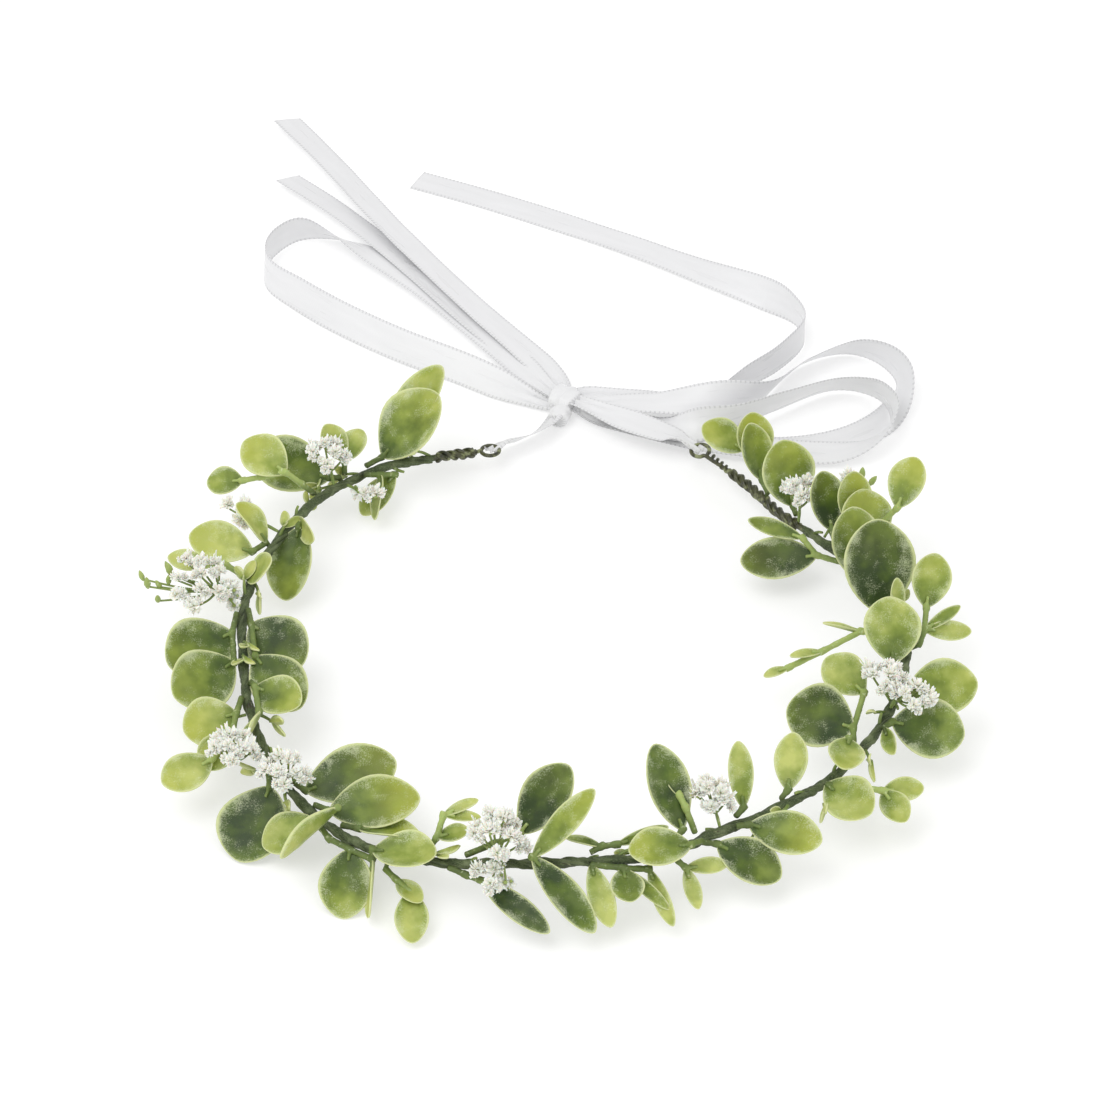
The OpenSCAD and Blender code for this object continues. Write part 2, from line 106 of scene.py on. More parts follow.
# Tone of each leaf, from 0 (dark) to 1 (light), and how yellow its tip is, in each sprig's order
# round the ring from its left end.
LEAF_TONES = {
    "left_end_sprig": [(0.62, 0.5), (0.5, 0.4), (0.6, 0.1), (0.55, 0.2)],
    "left_back_sprig": [(0.7, 0.2), (0.75, 0.3), (0.42, 0.1), (0.85, 0.8), (0.6, 0.2)],
    "left_upper_sprig": [(0.9, 0.4), (0.9, 0.9), (0.35, 0.3), (0.95, 0.8), (0.95, 0.2), (0.7, 0.2)],
    "left_sprig": [(0.32, 0.2), (0.12, 0.1), (0.45, 0.3), (0.3, 0.2)],
    "left_lower_sprig": [(0.5, 0.4), (0.85, 0.8), (0.7, 0.4), (0.7, 0.3), (0.85, 0.6)],
    "front_left_sprig": [(0.1, 0.0), (0.6, 0.2), (0.22, 0.4), (0.75, 0.3), (0.35, 0.9), (0.42, 0.2),
                         (0.6, 0.9), (0.85, 0.3), (0.6, 0.2)],
    "front_drop_sprig": [(0.85, 0.2), (0.75, 0.3)],
    "front_bud_sprig": [(0.8, 0.2), (0.65, 0.2), (0.75, 0.2), (0.02, 0.0), (0.1, 0.1)],
    "front_pair_sprig": [(0.6, 0.6), (0.25, 0.0)],
    "front_middle_sprig": [(0.5, 0.0), (0.75, 0.2), (0.35, 0.1), (0.4, 0.1), (0.5, 0.0), (0.75, 0.2)],
    "front_right_sprig": [(0.6, 0.6), (0.18, 0.0), (0.85, 0.0), (0.8, 0.3), (0.85, 0.0), (0.2, 0.1),
                          (0.75, 0.0), (0.4, 0.8)],
    "right_lower_sprig": [(0.85, 0.1), (0.75, 0.4), (0.65, 0.3), (0.7, 0.4), (0.8, 0.3)],
    "right_sprig": [(0.12, 0.1), (0.7, 0.0), (0.3, 0.0), (0.7, 0.0), (0.6, 0.3)],
    "right_upper_sprig": [(0.65, 0.1), (0.7, 0.0), (0.05, 0.1)],
    "right_outer_sprig": [(0.8, 0.3), (0.5, 0.0), (0.68, 0.4)],
    "right_inner_twig": [(0.9, 0.0), (0.9, 0.0), (0.85, 0.0)],
    "right_back_sprig": [(0.35, 0.2), (0.55, 0.7), (0.7, 0.9), (0.6, 0.9), (0.15, 0.2)],
    "right_inner_sprig": [(0.08, 0.2), (0.35, 0.2)],
    "right_end_sprig": [(0.42, 0.5), (0.45, 0.3), (0.62, 0.9), (0.65, 0.7)],
}

# The ribbon's runs: [x, y, z, lean] in millimetres and degrees, where lean turns the ribbon's width
# from lying flat (0) to standing on edge (90).
RIBBON_RUNS = {
    "left_ribbon_tie": ("gathered", [
        [-20, 87, 6, -45], [-14, 91, 4.6, -45], [-8, 97, 4, -40], [-4, 105.4, 3, -20]]),
    "right_ribbon_tie": ("gathered", [
        [31, 86, 8, 30], [27, 89, 7.4, 10], [17, 96, 6.4, 0], [2, 106.5, 5, 0]]),
    "lower_left_tail": ("laid", [
        [-90, 226, 1.7, -15], [-73, 208, 1.8, -17], [-53, 183, 1.8, -17], [-31, 152, 1.7, -15],
        [-14, 130, 1.2, -8], [-7, 120, 0.8, 0]]),
    "upper_left_tail": ("laid", [
        [-92, 259, 1.8, -15], [-77, 235, 1.9, -17], [-55, 196, 2.7, -17], [-32, 160, 2.8, -15],
        [-14, 135, 2.3, -8], [-5, 122, 1.8, 0]]),
    "left_bow_loop": ("laid", [
        [-7, 116, 2.4, 0], [-24, 140, 2.4, 0], [-43, 165, 2.4, 0], [-60, 182, 2.6, 10],
        [-74, 191, 4.4, 50], [-84, 193, 5.4, 80], [-91, 187, 5.4, 90], [-94, 178, 5.4, 88],
        [-92, 169, 5.2, 75], [-84, 161, 4.8, 60], [-70, 149, 4.3, 50], [-52, 136, 4.1, 45],
        [-31, 124, 3.4, 36], [-9, 111.5, 1, 0]]),
    "long_right_tail": ("laid", [
        [-49, 227, 0.3, 0], [-28, 217, 0.3, 0], [-4, 204, 0.4, 0], [18, 191, 0.8, 0],
        [38, 177, 1.8, 10], [56, 163, 4, 40], [66, 152, 5.5, 84], [69, 141, 5.5, 90],
        [61, 128, 5.5, 90], [51, 119, 5.5, 80], [38, 112, 3.8, 40], [22, 111, 2.2, 0],
        [5, 114.5, 2.2, 0]]),
    "right_bow_loop": ("laid", [
        [6, 108, 4.6, 0], [24, 106, 5.6, 0], [42, 106, 7.4, 50], [56, 111, 6, 110],
        [68, 126, 5, 130], [82, 133, 5, 120], [93, 127, 6, 90], [97, 116, 5.5, 60],
        [91, 104, 1.1, 0], [78, 95, 0.8, 0], [60, 91, 0.8, 0], [40, 94, 0.8, 0], [20, 101, 0.8, 0],
        [8, 105, 0.8, 0]]),
    "right_inner_loop": ("laid", [
        [6, 106, 3, 0], [26, 97, 3.6, 0], [44, 95.5, 8, 90], [60, 105, 7, 110],
        [76, 114, 6, 120], [87, 112, 6.4, 110], [92, 104, 7.4, 90], [92, 96, 7, 70],
        [85, 89, 4.2, 30], [74, 87, 2.2, 0], [56, 89, 2.2, 0], [36, 93, 2.2, 0], [18, 100, 2.2, 0],
        [7, 104, 2.2, 0]]),
}

# Where ribbons are drawn together: the knot, then the two wire eyes.
DRAWN_TO = [sum((np.array(c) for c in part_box(n)), np.zeros(3)) / 2
            for n in ("bow_knot", "left_wire_eye", "right_wire_eye")]

rng = random.Random(7)     # draws for leaves and flowers, in the order they are made


# ---------------------------------------------------------------- shader helpers
def fill(tree, made, inputs):
    """Gives a node's sockets, by name or index, their values or links them to other nodes."""
    for key, value in inputs.items():
        if isinstance(value, Value):
            tree.links.new(value.socket, made.inputs[key])
        else:
            made.inputs[key].default_value = value


def node(tree, kind, inputs, **settings):
    """Adds a node and returns its outputs as Values."""
    made = tree.nodes.new(kind)
    for key, value in settings.items():
        setattr(made, key, value)
    fill(tree, made, inputs)
    return [Value(tree, socket) for socket in made.outputs]


class Value:
    """A number or colour that a node gives out, and what further nodes can make of it."""

    def __init__(self, tree, socket):
        self.tree, self.socket = tree, socket

    def maths(self, operation, other=0.0):
        return node(self.tree, "ShaderNodeMath", {0: self, 1: other}, operation=operation)[0]

    def __add__(self, other):
        return self.maths("ADD", other)

    def __sub__(self, other):
        return self.maths("SUBTRACT", other)

    def __mul__(self, other):
        return self.maths("MULTIPLY", other)

    def __abs__(self):
        return self.maths("ABSOLUTE")

    def sine(self):
        return self.maths("SINE")

    def step(self, low, high, to_low=0.0, to_high=1.0):
        """Runs smoothly from to_low to to_high while the value runs from low to high."""
        return node(self.tree, "ShaderNodeMapRange", {0: self, 1: low, 2: high, 3: to_low, 4: to_high},
                    interpolation_type="SMOOTHSTEP")[0]

    def ramp(self, *stops):
        """The colour at this value, between stops of (value, colour)."""
        made = self.tree.nodes.new("ShaderNodeValToRGB")
        fill(self.tree, made, {0: self})
        while len(made.color_ramp.elements) < len(stops):
            made.color_ramp.elements.new(0.5)
        for element, (at, colour) in zip(made.color_ramp.elements, stops):
            element.position = at
            element.color = (*colour, 1)
        return Value(self.tree, made.outputs[0])

    def mix(self, share, colour):
        """This colour turned into another by share."""
        return node(self.tree, "ShaderNodeMix", {0: share, 6: self, 7: (*colour, 1)}, data_type="RGBA")[2]


class Paint:
    """A material in the making."""

    def __init__(self, name):
        self.material = bpy.data.materials.new(name)
        self.material.use_nodes = True
        self.tree = self.material.node_tree
        self.tree.nodes.clear()
        output = self.tree.nodes.new("ShaderNodeOutputMaterial")
        self.shader = self.tree.nodes.new("ShaderNodeBsdfPrincipled")
        self.tree.links.new(self.shader.outputs[0], output.inputs[0])

    def attribute(self, name):
        """The three numbers that a piece has at each vertex under this name."""
        made = self.tree.nodes.new("ShaderNodeAttribute")
        made.attribute_name = name
        return node(self.tree, "ShaderNodeSeparateXYZ", {0: Value(self.tree, made.outputs["Vector"])})

    def noise(self, scale, detail=2.0, vector=None):
        if vector is None:
            vector = Value(self.tree, self.tree.nodes.new("ShaderNodeTexCoord").outputs["Object"])
        return node(self.tree, "ShaderNodeTexNoise", {"Vector": vector, "Scale": scale, "Detail": detail})[0]

    def plane(self, x, y):
        """A place on a flat surface, for noise."""
        return node(self.tree, "ShaderNodeCombineXYZ", {0: x, 1: y, 2: 0.0})[0]

    def finish(self, colour, roughness, bump=None, **sockets):
        """Fills the shader's sockets and returns the material. bump is (height, strength, distance)."""
        if bump:
            inputs = dict(zip(("Height", "Strength", "Distance"), bump))
            sockets["Normal"] = node(self.tree, "ShaderNodeBump", inputs)[0]
        fill(self.tree, self.shader, {"Base Color": colour, "Roughness": roughness})
        fill(self.tree, self.shader, {key.replace("_", " "): value for key, value in sockets.items()})
        return self.material


# ---------------------------------------------------------------- materials
def leaf_material():
    """Matte plastic leaf: tone from dark to light, yellow tip, a painted highlight along the rim, pale
    patches of painted sheen, frost specks, faint veins.
    """
    paint = Paint("leaf")
    along, across, reach = paint.attribute("leaf_place")   # reach is 0 at the midrib and 1 at the rim
    tone, yellow, _ = paint.attribute("leaf_look")
    fine = paint.noise(3300.0, 3.0)
    tone = tone + (paint.noise(170.0, 3.0) - 0.5) * 1.05 + (along - 0.55) * 0.34
    body = tone.ramp((0.0, (0.020, 0.044, 0.003)), (0.3, (0.076, 0.124, 0.008)),
                     (0.6, (0.215, 0.282, 0.038)), (1.0, (0.51, 0.545, 0.16)))
    body = body.mix(yellow * along.step(0.3, 0.95) * 0.85, (0.38, 0.41, 0.035))
    # the base of the blade is darker
    body = body.mix(along.step(0.0, 0.28, 0.5, 0.0), (0.06, 0.10, 0.02))
    # frost: pale specks in patches, most near the rim
    patch = paint.noise(260.0, 3.0).step(0.44, 0.66, 0.0, 0.22)
    frost = (fine + (reach.step(0.4, 0.98, 0.0, 0.30) + patch)).step(0.62, 1.08)
    body = body.mix(frost * 0.55, (0.70, 0.74, 0.50))
    # painted sheen: soft pale patches over the blade
    body = body.mix(paint.noise(120.0).step(0.45, 0.7) * 0.18, (0.27, 0.33, 0.11))
    # painted highlight: a pale band along the rim
    body = body.mix(reach.step(0.87, 0.985, 0.0, 0.75), (0.68, 0.72, 0.37))
    # side veins run out from the midrib towards the tip
    slope = along * 8.0 - abs(across) * 2.2
    vein = abs((slope * 3.1416).sine()).maths("POWER", 0.5)
    return paint.finish(body, fine.step(0.3, 0.7, 0.42, 0.62), (vein * 0.35 + fine * 0.6, 0.5, 0.00012),
                        Specular_IOR_Level=0.42, Subsurface_Weight=0.12, Subsurface_Scale=0.0012,
                        Subsurface_Radius=(0.6, 1.0, 0.25), Sheen_Weight=0.06, Sheen_Roughness=0.5)


def stem_material():
    """Stem plastic: olive near the tape, light green at the ends, with frost specks."""
    paint = Paint("stem")
    reach = paint.attribute("stem_reach")[0]
    fine = paint.noise(900.0, 4.0)
    body = (reach + (paint.noise(220.0) - 0.5) * 0.6).ramp(
        (0.0, (0.055, 0.080, 0.020)), (0.35, (0.15, 0.21, 0.05)), (1.0, (0.37, 0.46, 0.14)))
    body = body.mix(fine.step(0.58, 0.74, 0.0, 0.5), (0.62, 0.68, 0.42))
    return paint.finish(body, fine.step(0.3, 0.7, 0.4, 0.65), (fine, 0.6, 0.00015),
                        Specular_IOR_Level=0.4, Subsurface_Weight=0.08, Subsurface_Scale=0.001)


def tape_material():
    """Crepe floral tape: dark olive paper, stretched wrinkles along the wire, painted highlights on the
    raised edge of each turn and on the wrinkles.
    """
    paint = Paint("tape")
    along, around, ridge = paint.attribute("tape_place")   # along and around are in turns
    crepe = paint.noise(6.0, 4.0, paint.plane(along * 1.4, around * 9.0))
    body = paint.noise(260.0, 3.0).ramp((0.3, (0.018, 0.030, 0.010)), (0.52, (0.058, 0.086, 0.028)),
                                        (0.72, (0.17, 0.205, 0.10)))
    # painted highlight: the raised edge of each turn is lighter
    body = body.mix(ridge.step(0.55, 1.0, 0.0, 0.3), (0.22, 0.26, 0.12))
    # painted highlight: the crepe wrinkles are paler
    body = body.mix(crepe.step(0.50, 0.70, 0.0, 0.5), (0.33, 0.35, 0.22))
    return paint.finish(body, crepe.step(0.3, 0.7, 0.55, 0.8), (crepe, 0.7, 0.0002),
                        Specular_IOR_Level=0.3, Sheen_Weight=0.1)


def wire_material():
    """Painted wire: dark green lacquer, with light spots of painted highlight."""
    paint = Paint("wire")
    cloud, glint_spots = paint.noise(600.0, 3.0), paint.noise(300.0, 4.0)
    body = cloud.ramp((0.3, (0.016, 0.018, 0.006)), (0.7, (0.085, 0.088, 0.03)))
    # painted highlights: light spots on the dark lacquer
    body = body.mix(glint_spots.step(0.52, 0.66, 0.0, 0.8), (0.32, 0.35, 0.17))
    return paint.finish(body, glint_spots.step(0.3, 0.7, 0.3, 0.55), (cloud, 0.4, 0.0001),
                        Specular_IOR_Level=0.55, Coat_Weight=0.15)


def flower_material():
    """Florets: cream white petals, translucent, a touch of green in the throat."""
    paint = Paint("flower")
    out, across, _ = paint.attribute("petal_place")   # out is 0 at the throat and 1 at the edge
    fine = paint.noise(1300.0, 3.0)
    body = out.ramp((0.0, (0.42, 0.45, 0.22)), (0.18, (0.74, 0.73, 0.56)),
                    (0.45, (0.92, 0.90, 0.80)), (1.0, (0.97, 0.955, 0.885)))
    body = body.mix(fine.step(0.55, 0.8, 0.0, 0.3), (0.86, 0.83, 0.72))
    ridges = (across * 14.0).sine()
    return paint.finish(body, fine.step(0.3, 0.7, 0.5, 0.75), (ridges * 0.3 + fine, 0.2, 0.0001),
                        Specular_IOR_Level=0.3, Subsurface_Weight=0.2, Subsurface_Scale=0.002,
                        Sheen_Weight=0.2)


def satin_material():
    """White satin ribbon: long floats along the ribbon, a denser selvedge, dotted picot edge."""
    paint = Paint("satin")
    along, across, _ = paint.attribute("ribbon_place")   # metres along, and across from -1 to 1
    floats = paint.noise(1.0, 3.0, paint.plane(along * 45.0, across * 1.6))
    threads = (across * 90.0).sine()
    edge = abs(across).step(0.80, 0.88)
    picks = (along * (2 * math.pi / PICOT_PITCH)).sine()
    body = floats.ramp((0.3, (0.735, 0.735, 0.745)), (0.7, (0.775, 0.775, 0.785)))
    body = body.mix(edge * 0.3, (0.66, 0.66, 0.67))
    body = body.mix(picks.step(0.1, 0.9) * edge * 0.5, (0.46, 0.46, 0.47))
    height = threads * 0.3 + floats * 0.2 + picks * edge * 1.6
    return paint.finish(body, floats.step(0.3, 0.7, 0.26, 0.4) + edge * 0.25, (height, 0.3, 0.0001),
                        Specular_IOR_Level=0.45, Sheen_Weight=0.25, Sheen_Roughness=0.35, Anisotropic=0.4)


def floor_material():
    paint = Paint("floor")
    body = paint.noise(6.0).ramp((0.3, (0.60, 0.60, 0.60)), (0.7, (0.62, 0.62, 0.62)))
    return paint.finish(body, 0.9, Specular_IOR_Level=0.05, Emission_Strength=0.42)


LEAF, STEM, TAPE, WIRE = leaf_material(), stem_material(), tape_material(), wire_material()
FLOWER, SATIN = flower_material(), satin_material()


# ---------------------------------------------------------------- mesh helpers
def store(mesh, key, vectors):
    """Gives each vertex a vector for the materials to read."""
    layer = mesh.attributes.new(key, "FLOAT_VECTOR", "POINT")
    layer.data.foreach_set("vector", np.asarray(vectors, np.float32).ravel())


def add_piece(name, verts, faces, material, places=None, weld=0.0):
    """A smooth mesh object. places maps an attribute's name to one vector for each vertex."""
    mesh = bpy.data.meshes.new(name)
    mesh.from_pydata([tuple(v) for v in verts], [], [tuple(int(i) for i in f) for f in faces])
    for key, values in (places or {}).items():
        store(mesh, key, values)
    if weld:
        work = bmesh.new()
        work.from_mesh(mesh)
        bmesh.ops.remove_doubles(work, verts=work.verts, dist=weld)
        bmesh.ops.recalc_face_normals(work, faces=work.faces)
        work.to_mesh(mesh)
        work.free()
    mesh.shade_smooth()
    mesh.materials.append(material)
    return add_object(name, mesh)


def modify(piece, kind, **settings):
    made = piece.modifiers.new(kind.lower(), kind)
    for key, value in settings.items():
        setattr(made, key, value)


def settle(piece, cad_node):
    """The piece rides on its node's body and stands for the node."""
    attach(piece, BODY_OF[cad_node])
    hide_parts(cad_node)


SAME_PLANE, SAME_WAY = 4e-6, 0.9998   # metres apart, and cosine of the angle between normals


def flat_faces(cad_node):
    """The flat faces of a CAD node: (normal, a point, area, the corners), triangles joined by plane."""
    mesh = NODES[cad_node].data
    mesh.calc_loop_triangles()
    at = np.array([v.co for v in mesh.vertices])
    corners = at[np.array([list(t.vertices) for t in mesh.loop_triangles])]
    normals = np.cross(corners[:, 1] - corners[:, 0], corners[:, 2] - corners[:, 0])
    doubled = norm(normals, axis=1)
    corners, normals, doubled = (x[doubled > 2e-12] for x in (corners, normals, doubled))
    normals /= doubled[:, None]
    offsets = (normals * corners[:, 0]).sum(1)
    left = np.ones(len(normals), bool)
    found = []
    for i in range(len(normals)):
        if not left[i]:
            continue
        level = np.abs(corners[:, 0] @ normals[i] - offsets[i]) < SAME_PLANE
        same = left & (normals @ normals[i] > SAME_WAY) & level
        left[same] = False
        found.append((normals[i], corners[i, 0], doubled[same].sum() / 2,
                      np.unique(corners[same].reshape(-1, 3).round(7), axis=0)))
    return found


def catmull(points, parts):
    """Points along a Catmull-Rom curve, with parts of them for each span."""
    points = np.asarray(points, float)
    out = []
    for i in range(len(points) - 1):
        a = points[max(i - 1, 0)]
        b, c = points[i], points[i + 1]
        d = points[min(i + 2, len(points) - 1)]
        for k in range(parts):
            t = k / parts
            out.append(0.5 * (2 * b + (c - a) * t + (2 * a - 5 * b + 4 * c - d) * t ** 2
                              + (3 * b - a - 3 * c + d) * t ** 3))
    out.append(points[-1])
    return np.array(out)


def even_steps(points, step):
    """The same curve with its points a fixed step apart."""
    gaps = norm(np.diff(points[:, :3], axis=0), axis=1)
    run = np.concatenate([[0], np.cumsum(gaps)])
    count = max(2, int(round(run[-1] / step)) + 1)
    want = np.linspace(0, run[-1], count)
    return np.column_stack([np.interp(want, run, points[:, k]) for k in range(points.shape[1])]), want


def frames_along(points):
    """Direction, side and up of each point of a curve that doesn't run upright for long."""
    ahead = np.gradient(points, axis=0)
    ahead /= norm(ahead, axis=1)[:, None]
    side = np.cross([0, 0, 1.0], ahead)
    side /= np.maximum(norm(side, axis=1)[:, None], 1e-9)
    return ahead, side, np.cross(ahead, side)


def barrel_faces(rows, around):
    """Quads between rings of vertices, and a cap at each end."""
    faces = [(i * around + k, i * around + (k + 1) % around, (i + 1) * around + (k + 1) % around,
              (i + 1) * around + k) for i in range(rows - 1) for k in range(around)]
    return faces + [tuple(range(around))[::-1], tuple((rows - 1) * around + k for k in range(around))]


def tube(points, radii, around=10):
    """Vertices and faces of a tube. radii is one number or one for each point."""
    points = np.asarray(points, float)
    radii = np.broadcast_to(radii, (len(points),))
    _, side, up = frames_along(points)
    turn = np.arange(around) * 2 * math.pi / around
    ring = np.cos(turn)[None, :, None] * side[:, None] + np.sin(turn)[None, :, None] * up[:, None]
    verts = (points[:, None] + ring * radii[:, None, None]).reshape(-1, 3)
    return verts, barrel_faces(len(points), around)


def unit(vector):
    """The vector at length 1."""
    return vector / norm(vector)


def placed(verts, lead, facing, at):
    """A shape made along +X and facing +Z, turned to lead and facing and moved to at."""
    return np.asarray(verts) @ np.column_stack([lead, np.cross(facing, lead), facing]).T + at


class Gathered:
    """Collects several shapes into one mesh. A shape's places are a vector, or one for each vertex."""

    def __init__(self):
        self.verts, self.faces, self.places, self.count = [], [], {}, 0

    def add(self, verts, faces, **places):
        self.verts.append(np.asarray(verts, float))
        self.faces += [[i + self.count for i in f] for f in faces]
        self.count += len(verts)
        for key, values in places.items():
            self.places.setdefault(key, []).append(np.broadcast_to(values, (len(verts), 3)))

    def make(self, name, material, weld=0.0):
        places = {key: np.vstack(values) for key, values in self.places.items()}
        return add_piece(name, np.vstack(self.verts), self.faces, material, places, weld)


# ---------------------------------------------------------------- the ring
RING_START = 109           # the ring's left end, in degrees counter-clockwise from +X
GAP_MIDDLE = 100           # the middle of its gap
STATION_STEP = 5.0         # the CAD wire has a ring of points every so many degrees


def ring_core():
    """The core wire's middle, from its left end round the front to its right end."""
    mesh = NODES["main_wire"].data
    at = np.unique(np.array([v.co for v in mesh.vertices]).round(7), axis=0)
    angle = (np.degrees(np.arctan2(at[:, 1], at[:, 0])) - GAP_MIDDLE) % 360 + GAP_MIDDLE
    station = np.round((angle - RING_START) / STATION_STEP)
    middles = [at[station == s].mean(0) for s in sorted(set(station)) if (station == s).sum() >= 6]
    return catmull(middles, 8)


CORE = ring_core()
CORE_TREE = KDTree(len(CORE))
for core_index, core_point in enumerate(CORE):
    CORE_TREE.insert(core_point, core_index)
CORE_TREE.balance()


def from_core(point):
    """Distance from the core wire's middle."""
    return CORE_TREE.find(point)[2]


def ring_angle(point):
    """Degrees counter-clockwise from the middle of the ring's gap."""
    return (math.degrees(math.atan2(point[1], point[0])) - GAP_MIDDLE) % 360


LEFT_BARE, RIGHT_BARE = 9 * MM, 30 * MM   # lengths of wire with no tape at the two ends
TAPE_STRANDS = 3


def make_tape():
    """Floral tape in overlapping turns, thicker where stems are bound in, and thin at its two ends."""
    points, run = even_steps(CORE, 0.45 * MM)
    keep = (run > LEFT_BARE) & (run < run[-1] - RIGHT_BARE)
    points, run = points[keep], run[keep]
    around = 22
    _, side, up = frames_along(points)
    verts, places = [], []
    for i, s in enumerate(run):
        lump = 0.13 * noise.noise(Vector((s * 110, 0.3, 0.0)))
        lump += 0.40 * max(0.0, noise.noise(Vector((s * 260, 4.1, 0.0)))) ** 1.4
        end = min(1.0, (s - run[0]) / (3 * MM), (run[-1] - s) / (4 * MM))
        for k in range(around):
            turn = 2 * math.pi * k / around
            phase = (s / TAPE_PITCH - k / around) % 1.0
            ridge = phase ** 3 if phase < 0.92 else (1 - phase) / 0.08 * 0.92 ** 3
            crinkle = 0.07 * noise.noise(Vector((s * 900, 5 * math.cos(turn), 5 * math.sin(turn))))
            r = TAPE_R * (0.50 + 0.12 * ridge + lump + crinkle) * (0.68 + 0.32 * math.sqrt(max(end, 0)))
            verts.append(points[i] + r * (math.cos(turn) * side[i] + math.sin(turn) * up[i]))
            places.append((s / TAPE_PITCH, k / around, ridge))
    shapes = Gathered()
    shapes.add(verts, barrel_faces(len(run), around), tape_place=places)
    # stem ends wound round under the outer turns, which show as long ridges
    for strand in range(TAPE_STRANDS):
        laid, laid_faces = winding(CORE, run[0] + 4 * MM, run[-1] - 4 * MM, (0.96 + 0.05 * strand) * MM,
                                   0.46 * MM, (21 + 6 * strand) * MM, 2.1 * strand, 0.5 * MM)
        shapes.add(laid, laid_faces, tape_place=[(i / 40, i % 8 / 8, 0.75) for i in range(len(laid))])
    settle(shapes.make("floral_tape_wrap", TAPE), "floral_tape")


def winding(points, start, end, coil_r, wire_r, pitch, phase=0.0, step=0.16 * MM):
    """An uneven wire wound round the curve between two distances along it."""
    fine, along = even_steps(points, step)
    keep = (along >= start) & (along <= end)
    fine, along = fine[keep], along[keep]
    _, side, up = frames_along(fine)
    turn = along / pitch * 2 * math.pi + phase
    slack = np.array([1 + 0.28 * noise.noise(Vector((s * 350, phase, 0.0))) for s in along])[:, None]
    coil = fine + coil_r * slack * (np.cos(turn)[:, None] * side + np.sin(turn)[:, None] * up)
    lumps = np.array([1 + 0.35 * noise.noise(Vector((s * 620, phase, 7.0))) for s in along])
    return tube(coil, wire_r * lumps, 8)


def make_wire():
    """The core wire, with dark binding wire wound tight round both bare ends."""
    points, run = even_steps(CORE, 1.0 * MM)
    shapes = Gathered()
    shapes.add(*tube(points, CORE_R, 14))
    length = run[-1]
    for strand in range(3):
        turn = 2 * math.pi * strand / 3
        shapes.add(*winding(points, 0.5 * MM, LEFT_BARE + 3 * MM, 1.0 * MM, 0.62 * MM, 7.5 * MM, turn))
        shapes.add(*winding(points, length - RIGHT_BARE - 2 * MM, length - 1.0 * MM, 0.95 * MM,
                            0.66 * MM, 9.5 * MM, turn))
    settle(shapes.make("bound_core_wire", WIRE), "main_wire")


EYE_LOOP_R, EYE_WIRE_R = 2.6 * MM, 0.58 * MM


def make_eye(cad_node, ring_end, name):
    """A wire eye: the wire's end bent to a loop whose tail is twisted back round its lead."""
    low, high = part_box(cad_node)
    near = np.array(ring_end)
    middle_z = np.median([v.co.z for v in NODES[cad_node].data.vertices])
    # the loop is the end of the box away from the ring's end
    inset = EYE_LOOP_R + EYE_WIRE_R + 0.02 * MM
    middle = np.array([low[i] + inset if abs(low[i] - near[i]) > abs(high[i] - near[i]) else high[i] - inset
                       for i in (0, 1)] + [middle_z])
    away = near - middle
    heading = math.atan2(away[1], away[0])
    loop = []
    for k in range(41):
        a = heading + math.radians(12) + math.radians(336) * k / 40
        loop.append(middle + EYE_LOOP_R * np.array([math.cos(a), math.sin(a), 0.10 * math.sin(a - heading)]))
    lead = [near + (loop[-1] - near) * t for t in (0.0, 0.35, 0.7)]
    shapes = Gathered()
    shapes.add(*tube(catmull(lead + [loop[-1 - k] for k in range(0, 41, 4)], 6), EYE_WIRE_R, 10))
    line = np.array([loop[0], (loop[0] + near) / 2, near])
    fine = catmull(line, 20)
    length = norm(np.diff(fine, axis=0), axis=1).sum()
    if length > 2 * MM:
        shapes.add(*winding(fine, 0.0, length, 0.75 * MM, 0.42 * MM, 1.9 * MM))
    settle(shapes.make(name, WIRE), cad_node)


make_tape()
make_wire()
make_eye("left_wire_eye", CORE[0], "left_eye_loop")
make_eye("right_wire_eye", CORE[-1], "right_eye_loop")


# ---------------------------------------------------------------- leaves
def even_about(corners, normal):
    """Base, lead and length of an uncut blade from its outline alone: the line it mirrors in."""
    for base in corners:
        for tip in corners:
            length = norm(tip - base)
            if length < 3 * MM:
                continue
            lead = (tip - base) / length
            flat = np.column_stack([(corners - base) @ lead, (corners - base) @ np.cross(normal, lead)])
            near = norm(flat[:, None] * [1, -1] - flat[None], axis=2).min(1)
            low = flat[:, 0] < length / 2
            if near.max() < 0.04 * MM and np.abs(flat[low, 1]).max() < np.abs(flat[~low, 1]).max():
                return base, lead
    return None


def leaf_frames(sprig):
    """Where each blade of a sprig sits: (base, lead, normal, length, width).
    The petiole's six-sided end shows where the blade starts and which way it points; where a
    neighbour hides that end, the blade's own outline does."""
    cap_area = 1.5 * math.sqrt(3) * PETIOLE_R ** 2
    ends = [(n, c.mean(0)) for n, _, area, c in flat_faces(sprig + "_stems")
            if abs(area / cap_area - 1) < 0.05]
    blades = [(n, p, c) for n, p, area, c in flat_faces(sprig + "_leaves") if area > 4 * MM * MM]
    fits = []
    for normal, point, corners in blades:
        for lead, end in ends:
            if abs(lead @ normal) > 0.01 or abs((point - end) @ normal - BLADE_THICK / 2) > 0.1 * MM:
                continue
            top = end - lead * PETIOLE_INTO_BLADE + normal * BLADE_THICK / 2
            gap = norm(corners - top, axis=1).min()
            if gap < 0.2 * MM:
                fits.append((gap, top, lead, normal, corners))
        if len(corners) < 20:
            outline = even_about(corners, normal)
            if outline:
                fits.append((0.3 * MM, *outline, normal, corners))
    frames = []
    for _, top, lead, normal, corners in sorted(fits, key=lambda f: f[0]):
        base = top - normal * BLADE_THICK / 2
        sides = (corners - top) @ np.cross(normal, lead)
        if all(norm(base - f[0]) > 0.4 * MM or lead @ f[1] < 0.98 for f in frames):
            frames.append((base, lead, normal if normal[2] > 0 else -normal,
                           ((corners - top) @ lead).max(), 2 * np.abs(sides).max()))
    frames.sort(key=lambda f: ring_angle(f[0] + f[1] * f[3] / 2))
    return frames


